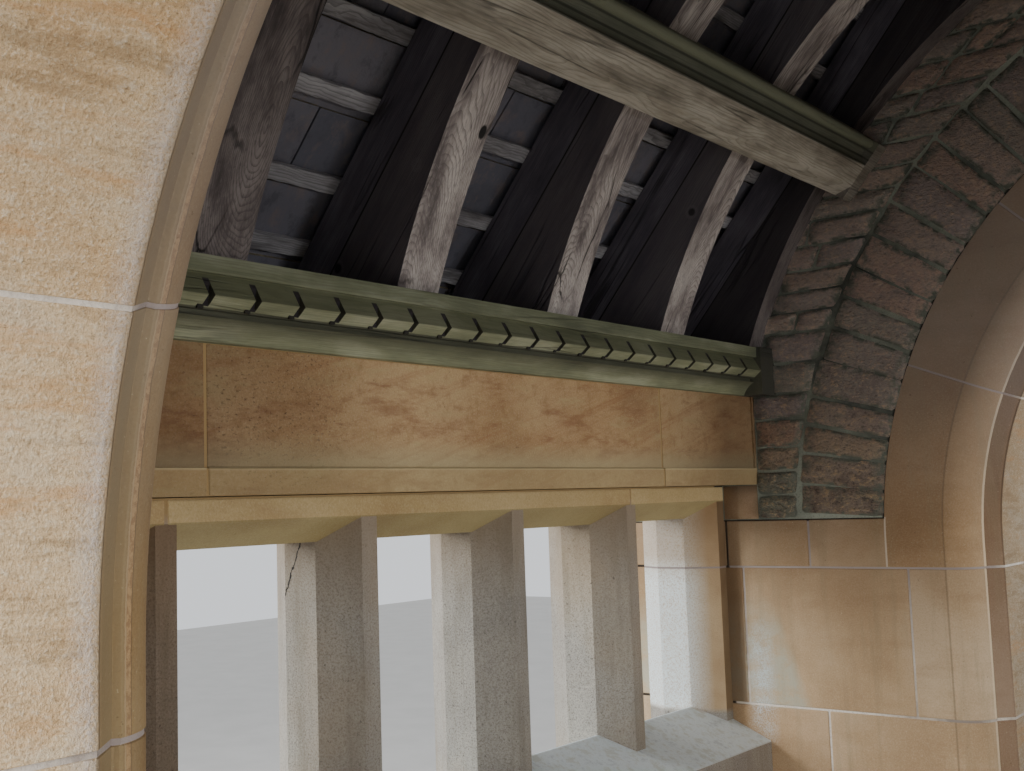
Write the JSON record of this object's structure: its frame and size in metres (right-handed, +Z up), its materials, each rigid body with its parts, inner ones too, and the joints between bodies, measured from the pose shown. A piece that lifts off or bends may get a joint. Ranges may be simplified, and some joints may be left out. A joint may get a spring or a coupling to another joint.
{
  "type": "lychgate",
  "caption": "Small open stone lychgate: round-arched doorways through both gables, mullioned side openings, ribbed oak roof under stone slates.",
  "frame": {"origin": "centre of the building's footprint at ground level", "axes": "+Z up, Y along the passage from doorway to doorway, X across it between the side walls"},
  "size_m": [4.5986, 3.48, 4.7582],
  "materials": {
    "ashlar": "matte",
    "rubble": "matte",
    "coping_stone": "matte",
    "window_stone": "matte",
    "frieze_stone": "matte",
    "plate_oak": "matte",
    "purlin_oak": "matte",
    "rafter_oak": "matte",
    "rib_oak": "matte",
    "batten_wood": "matte",
    "stone_slate": "matte"
  },
  "bodies": {
    "root": {"back_apex_stone": "coping_stone", "back_arch": "ashlar", "back_gable_peak": "rubble", "back_left_coping": "coping_stone", "back_left_pier": "ashlar", "back_left_spandrel": "rubble", "back_relieving_arch": "rubble", "back_right_coping": "coping_stone", "back_right_pier": "ashlar", "back_right_spandrel": "rubble", "battens": "batten_wood", "collars": "rafter_oak", "front_apex_stone": "coping_stone", "front_arch": "ashlar", "front_gable_peak": "rubble", "front_left_coping": "coping_stone", "front_left_pier": "ashlar", "front_left_spandrel": "rubble", "front_relieving_arch": "rubble", "front_right_coping": "coping_stone", "front_right_pier": "ashlar", "front_right_spandrel": "rubble", "left_dwarf_wall": "ashlar", "left_frieze": "frieze_stone", "left_lintel": "frieze_stone", "left_mullions": "window_stone", "left_purlin": "purlin_oak", "left_rafters": "rafter_oak", "left_ribs": "rib_oak", "left_sill": "window_stone", "left_slates": "stone_slate", "left_wall_plate": "plate_oak", "ridge_board": "rafter_oak", "ridge_stones": "coping_stone", "right_dwarf_wall": "ashlar", "right_frieze": "frieze_stone", "right_lintel": "frieze_stone", "right_mullions": "window_stone", "right_purlin": "purlin_oak", "right_rafters": "rafter_oak", "right_ribs": "rib_oak", "right_sill": "window_stone", "right_slates": "stone_slate", "right_wall_plate": "plate_oak"}
  },
  "joints": []
}
